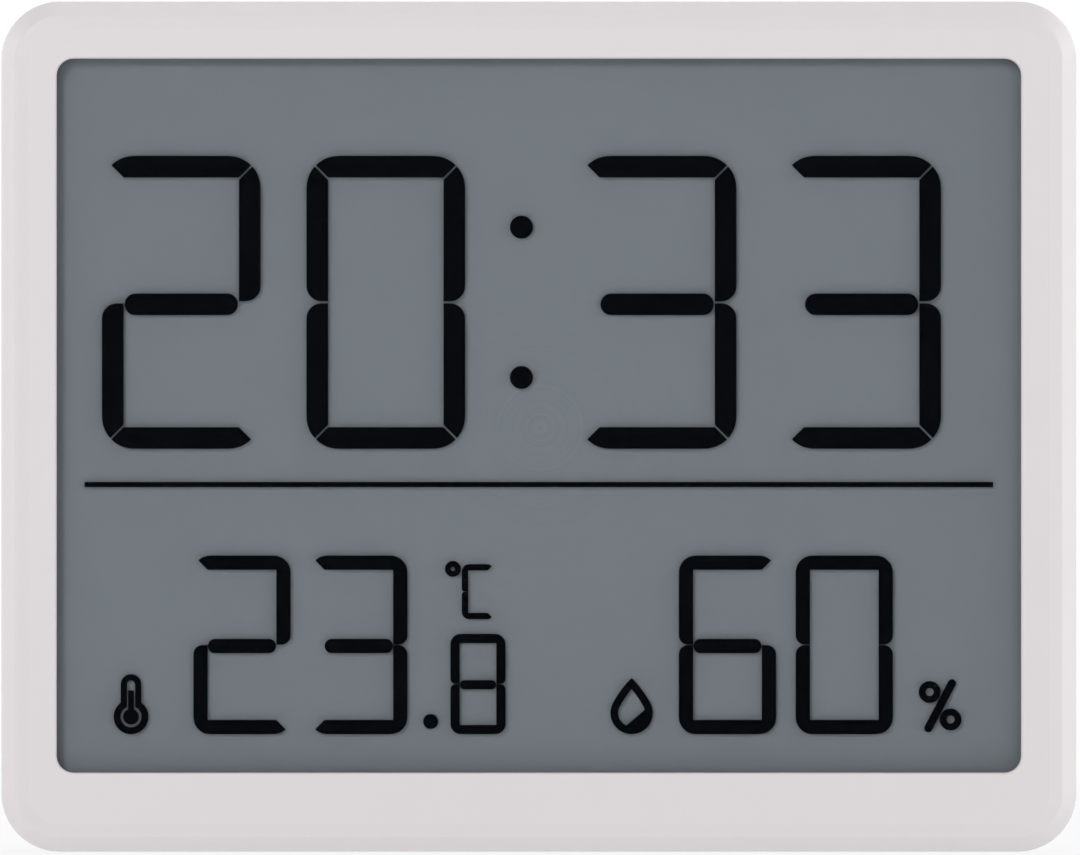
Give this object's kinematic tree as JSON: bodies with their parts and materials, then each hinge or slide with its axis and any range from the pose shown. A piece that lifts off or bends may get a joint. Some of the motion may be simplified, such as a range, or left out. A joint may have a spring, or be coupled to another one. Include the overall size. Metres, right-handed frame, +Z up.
{
  "type": "thermometer hygrometer clock",
  "caption": "Slim white clock with a large segment display of time, temperature and humidity, a folding back stand, a keyhole, magnets, back buttons and a coin cell door.",
  "frame": {"origin": "under the middle of the case, on the surface that it stands on", "axes": "+X to the right seen from the front, +Y from the front face to the back, +Z up"},
  "size_m": [0.092, 0.01, 0.0728],
  "materials": {
    "white_plastic": "fine moulded grain, off-white",
    "button_plastic": "fine moulded grain, light grey",
    "gasket_foam": "matt black foam",
    "polariser_film": "clear anti-glare film",
    "display_glass": "clear polished",
    "edge_glue": "cured glue",
    "dark_segment": "driven dark",
    "grey_reflector": "even matt grey",
    "tray_plastic": "moulded",
    "zebra_rubber": "layered silicone",
    "board_laminate": "green solder mask",
    "black_resin": "cured resin",
    "bright_steel": "bright plated",
    "chip_ceramic": "fired ceramic",
    "resistor_black": "black glazed",
    "switch_plastic": "black moulded",
    "cell_metal": "brushed can",
    "contact_metal": "plated spring strip",
    "magnet_metal": "nickel plated"
  },
  "bodies": {
    "case": {"front_bezel": "white_plastic", "display_gasket": "gasket_foam", "lcd_front_polariser": "polariser_film", "lcd_front_glass": "display_glass", "lcd_edge_seal": "edge_glue", "lcd_time_digits": "dark_segment", "lcd_colon": "dark_segment", "lcd_divider": "dark_segment", "lcd_temperature_digits": "dark_segment", "lcd_temperature_symbols": "dark_segment", "lcd_humidity_digits": "dark_segment", "lcd_humidity_symbols": "dark_segment", "lcd_rear_glass": "display_glass", "lcd_reflector": "grey_reflector", "display_tray": "tray_plastic", "zebra_strip": "zebra_rubber", "main_board": "board_laminate", "controller_blob": "black_resin", "clock_crystal": "bright_steel", "humidity_sensor": "black_resin", "chip_capacitors": "chip_ceramic", "chip_resistors": "resistor_black", "switch_bodies": "switch_plastic", "coin_cell": "cell_metal", "battery_plus_contact": "contact_metal", "battery_minus_contact": "contact_metal", "back_cover": "white_plastic", "stand_pin": "bright_steel", "back_magnets": "magnet_metal", "case_screws": "bright_steel"},
    "stand": {"stand_leg": "white_plastic"},
    "door": {"battery_door": "white_plastic"},
    "mode_key": {"mode_button": "button_plastic", "mode_plunger": "switch_plastic"},
    "up_key": {"up_button": "button_plastic", "up_plunger": "switch_plastic"},
    "down_key": {"down_button": "button_plastic", "down_plunger": "switch_plastic"},
    "unit_key": {"unit_button": "button_plastic", "unit_plunger": "switch_plastic"}
  },
  "joints": [
    {"name": "stand_fold", "type": "hinge", "parent": "case", "child": "stand", "pos_m": [0, 0.00355, 0.04275], "axis": [1, 0, 0], "range_deg": [0, 40]},
    {"name": "door_turn", "type": "hinge", "parent": "case", "child": "door", "pos_m": [-0.0278, 0.00405, 0.05205], "axis": [0, 1, 0], "range_deg": [0, 40]},
    {"name": "mode_press", "type": "slide", "parent": "case", "child": "mode_key", "axis": [0, -1, 0], "range_m": [0, 0.00035], "stiffness_N_per_m": 1000},
    {"name": "up_press", "type": "slide", "parent": "case", "child": "up_key", "axis": [0, -1, 0], "range_m": [0, 0.00035], "stiffness_N_per_m": 1000},
    {"name": "down_press", "type": "slide", "parent": "case", "child": "down_key", "axis": [0, -1, 0], "range_m": [0, 0.00035], "stiffness_N_per_m": 1000},
    {"name": "unit_press", "type": "slide", "parent": "case", "child": "unit_key", "axis": [0, -1, 0], "range_m": [0, 0.00035], "stiffness_N_per_m": 1000}
  ]
}
